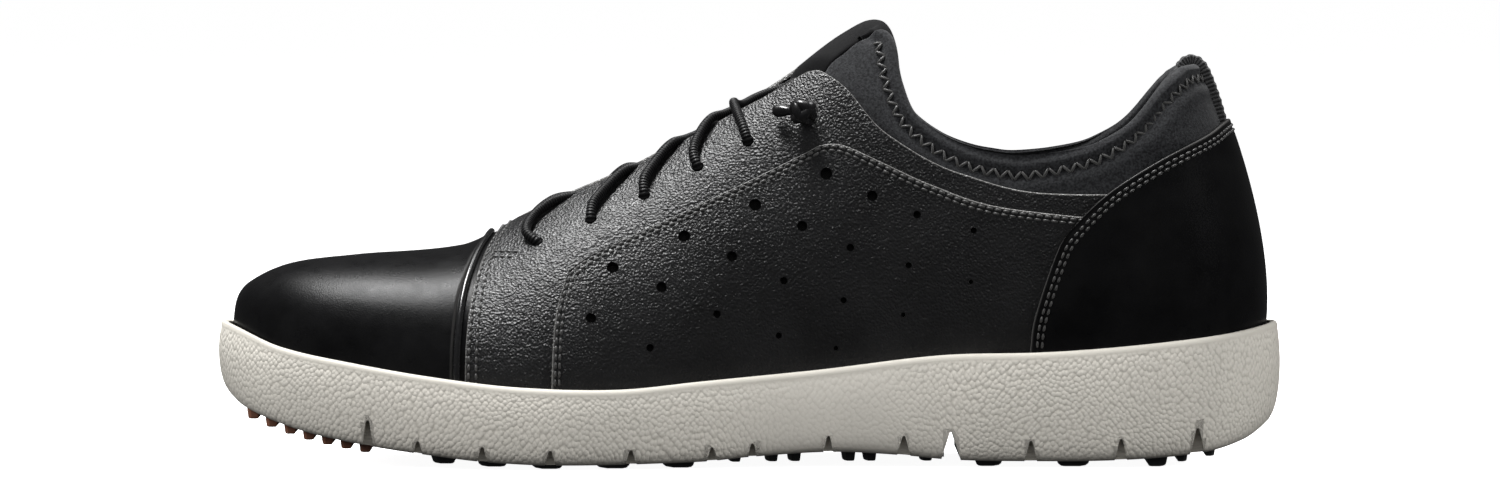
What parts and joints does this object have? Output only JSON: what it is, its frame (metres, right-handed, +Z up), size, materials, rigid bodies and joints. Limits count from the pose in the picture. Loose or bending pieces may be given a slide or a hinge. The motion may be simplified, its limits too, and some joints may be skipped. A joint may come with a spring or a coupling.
{
  "type": "golf shoe",
  "caption": "Low spikeless golf shoe for the right foot: leather upper, stretch bootie, elastic lace, grooved foam midsole and lugged tread.",
  "frame": {"origin": "centre of the shoe's outer box, on the ground under it", "axes": "+X from toe to heel, +Y from the inner (medial) side to the outer side, +Z up"},
  "size_m": [0.304, 0.1122, 0.1268],
  "materials": {
    "midsole_foam": "pebbled matte cream foam",
    "tread_brown": "moulded matte",
    "tread_dark": "moulded matte",
    "board": "pressed fibre",
    "footbed": "foam",
    "lining": "woven",
    "smooth_leather": "polished smooth",
    "grained_leather": "fine grained",
    "piping": "glossy",
    "stiffener": "matte board",
    "neoprene": "matte knit",
    "webbing": "ribbed",
    "lace": "ribbed elastic cord"
  },
  "bodies": {
    "root": {"midsole": "midsole_foam", "outsole_forefoot": "tread_dark", "outsole_waist": "tread_dark", "outsole_heel": "tread_dark", "insole_board": "board", "footbed_foam": "footbed", "footbed_cover": "lining", "vamp": "grained_leather", "vamp_lining": "lining", "interlining_medial": "stiffener", "interlining_lateral": "stiffener", "quarter_medial": "grained_leather", "quarter_lateral": "grained_leather", "quarter_lining_medial": "lining", "quarter_lining_lateral": "lining", "heel_panel": "smooth_leather", "heel_counter": "stiffener", "bootie_collar": "neoprene", "tongue_panel": "neoprene", "heel_tab": "webbing", "elastic_lace": "lace", "lace_knot_medial": "lace", "lace_knot_lateral": "lace"},
    "forefoot": {"outsole_toe": "tread_brown", "toe_cap": "smooth_leather", "toe_piping": "piping", "toe_puff": "stiffener"},
    "tongue": {"tongue_top": "neoprene"}
  },
  "joints": [
    {"name": "forefoot_flex", "type": "hinge", "parent": "root", "child": "forefoot", "pos_m": [-0.08, 0, 0.024], "axis": [0, 1, 0], "range_deg": [0, 25], "stiffness_Nm_per_rad": 6, "deforming": ["midsole", "vamp", "vamp_lining", "insole_board", "footbed_foam", "footbed_cover", "tongue_panel", "elastic_lace"]},
    {"name": "tongue_fold", "type": "hinge", "parent": "root", "child": "tongue", "pos_m": [0.014, 0, 0.1125], "axis": [0, -1, 0], "range_deg": [0, 20], "stiffness_Nm_per_rad": 0.3}
  ]
}
